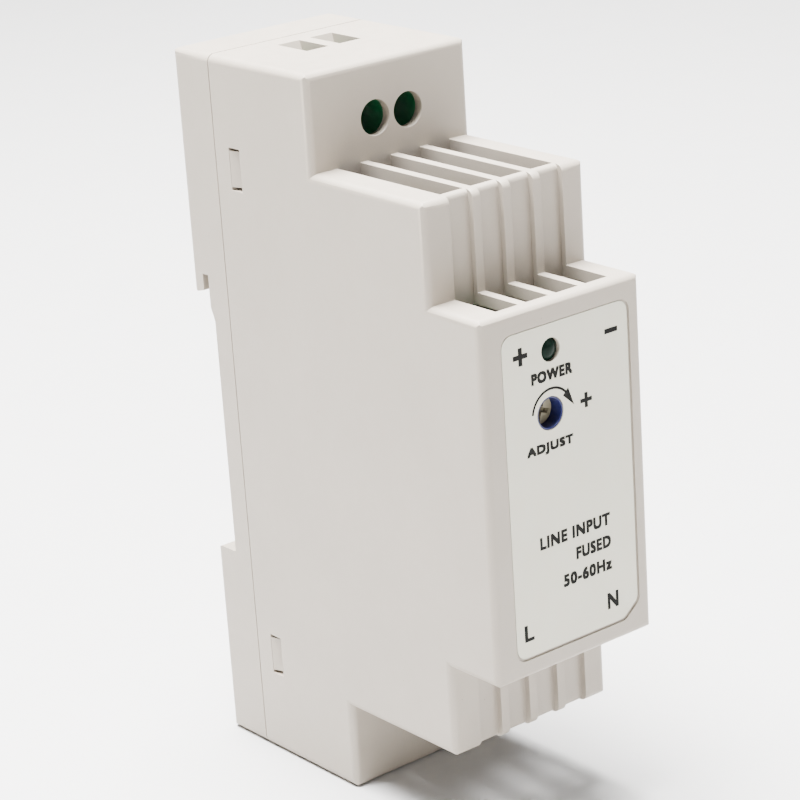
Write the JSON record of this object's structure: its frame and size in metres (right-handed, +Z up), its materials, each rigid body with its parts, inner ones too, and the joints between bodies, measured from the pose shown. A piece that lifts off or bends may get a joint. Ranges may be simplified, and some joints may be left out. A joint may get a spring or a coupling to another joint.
{
  "type": "din rail power supply",
  "caption": "Narrow stepped plastic case that clips onto a 35 mm rail, with vent ribs, screw terminals at both ends, an indicator and an output voltage trimmer.",
  "frame": {"origin": "on the plane of the rail's lips, midway across the case's width and midway between the rail's two edges, which is also the case's mid-height", "axes": "+Z up along the case's height, +X across its width, +Y out of the rear towards the rail, so the front label faces -Y"},
  "size_m": [0.025, 0.056, 0.093],
  "materials": {
    "case_plastic": "fine satin moulded",
    "label_film": "satin printed film",
    "latch_plastic": "satin moulded",
    "terminal_green": "moulded, slight gloss",
    "circuit_board": "solder mask",
    "insulating_film": "translucent film",
    "steel_zinc": "bright zinc plated",
    "brass_nickel": "nickel-washed brass",
    "tinned_metal": "dull tin",
    "copper_wire": "enamelled copper",
    "ferrite": "sintered matt",
    "choke_coating": "epoxy coated",
    "black_epoxy": "moulded epoxy",
    "winding_tape": "polyester tape",
    "capacitor_aluminium": "drawn",
    "capacitor_sleeve": "shrink sleeve",
    "film_yellow": "moulded",
    "ceramic_blue": "dipped epoxy",
    "thermistor_green": "dipped",
    "ceramic_white": "ceramic tube",
    "aluminium_plate": "sheared plate",
    "led_green": "tinted epoxy, unlit",
    "trimmer_blue": "moulded",
    "rotor_grey": "moulded"
  },
  "bodies": {
    "case": {"front_cover": "case_plastic", "rear_base": "case_plastic", "front_label": "label_film", "latch_spring": "steel_zinc", "main_pcb": "circuit_board", "insulating_sheet": "insulating_film", "board_screws": "steel_zinc", "output_terminal_block": "terminal_green", "input_terminal_block": "terminal_green", "output_contacts": "tinned_metal", "input_contacts": "tinned_metal", "transformer_core": "ferrite", "transformer_bobbin": "black_epoxy", "transformer_winding": "winding_tape", "input_capacitor": "capacitor_aluminium", "input_capacitor_sleeve": "capacitor_sleeve", "output_capacitors": "capacitor_aluminium", "output_capacitor_sleeves": "capacitor_sleeve", "film_capacitor": "film_yellow", "safety_capacitor": "ceramic_blue", "choke_core": "choke_coating", "choke_windings": "copper_wire", "mains_fuse": "ceramic_white", "fuse_caps": "tinned_metal", "thermistor": "thermistor_green", "bridge_rectifier": "black_epoxy", "switching_transistor": "black_epoxy", "switch_heat_sink": "aluminium_plate", "output_diode": "black_epoxy", "diode_heat_sink": "aluminium_plate", "heat_sink_screws": "steel_zinc", "output_inductor": "ferrite", "inductor_winding": "copper_wire", "control_pcb": "circuit_board", "control_header": "black_epoxy", "pwm_controller": "black_epoxy", "optocoupler": "black_epoxy", "indicator_led": "led_green", "led_leads": "tinned_metal", "trimmer_body": "trimmer_blue"},
    "latch": {"rail_latch": "latch_plastic"},
    "trimmer": {"trimmer_rotor": "rotor_grey"},
    "screw_positive": {"screw_positive": "steel_zinc"},
    "clamp_positive": {"clamp_positive": "brass_nickel"},
    "screw_negative": {"screw_negative": "steel_zinc"},
    "clamp_negative": {"clamp_negative": "brass_nickel"},
    "screw_line": {"screw_line": "steel_zinc"},
    "clamp_line": {"clamp_line": "brass_nickel"},
    "screw_neutral": {"screw_neutral": "steel_zinc"},
    "clamp_neutral": {"clamp_neutral": "brass_nickel"}
  },
  "joints": [
    {"name": "latch_slide", "type": "slide", "parent": "case", "child": "latch", "axis": [0, 0, -1], "range_m": [0, 0.0035], "stiffness_N_per_m": 1200, "springref_m": -0.002, "deforming": ["latch_spring"]},
    {"name": "trimmer_turn", "type": "hinge", "parent": "case", "child": "trimmer", "pos_m": [-0.00235, -0.0503, 0.0086], "axis": [0, 1, 0], "range_deg": [-130, 130]},
    {"name": "screw_positive_turn", "type": "hinge", "parent": "case", "child": "screw_positive", "pos_m": [-0.00224, -0.015, 0.0394], "axis": [0, 1, 0], "range_deg": [0, 1260]},
    {"name": "clamp_positive_slide", "type": "slide", "parent": "case", "child": "clamp_positive", "axis": [0, -1, 0], "range_m": [0, 0.00175]},
    {"name": "screw_negative_turn", "type": "hinge", "parent": "case", "child": "screw_negative", "pos_m": [0.00284, -0.015, 0.0394], "axis": [0, 1, 0], "range_deg": [0, 1260]},
    {"name": "clamp_negative_slide", "type": "slide", "parent": "case", "child": "clamp_negative", "axis": [0, -1, 0], "range_m": [0, 0.00175]},
    {"name": "screw_line_turn", "type": "hinge", "parent": "case", "child": "screw_line", "pos_m": [-0.00224, -0.015, -0.0394], "axis": [0, 1, 0], "range_deg": [0, 1260]},
    {"name": "clamp_line_slide", "type": "slide", "parent": "case", "child": "clamp_line", "axis": [0, -1, 0], "range_m": [0, 0.00175]},
    {"name": "screw_neutral_turn", "type": "hinge", "parent": "case", "child": "screw_neutral", "pos_m": [0.00284, -0.015, -0.0394], "axis": [0, 1, 0], "range_deg": [0, 1260]},
    {"name": "clamp_neutral_slide", "type": "slide", "parent": "case", "child": "clamp_neutral", "axis": [0, -1, 0], "range_m": [0, 0.00175]}
  ],
  "couplings": [
    {"joint": "screw_positive_turn", "follows": "clamp_positive_slide", "rad_per_m": 12566},
    {"joint": "screw_negative_turn", "follows": "clamp_negative_slide", "rad_per_m": 12566},
    {"joint": "screw_line_turn", "follows": "clamp_line_slide", "rad_per_m": 12566},
    {"joint": "screw_neutral_turn", "follows": "clamp_neutral_slide", "rad_per_m": 12566}
  ]
}
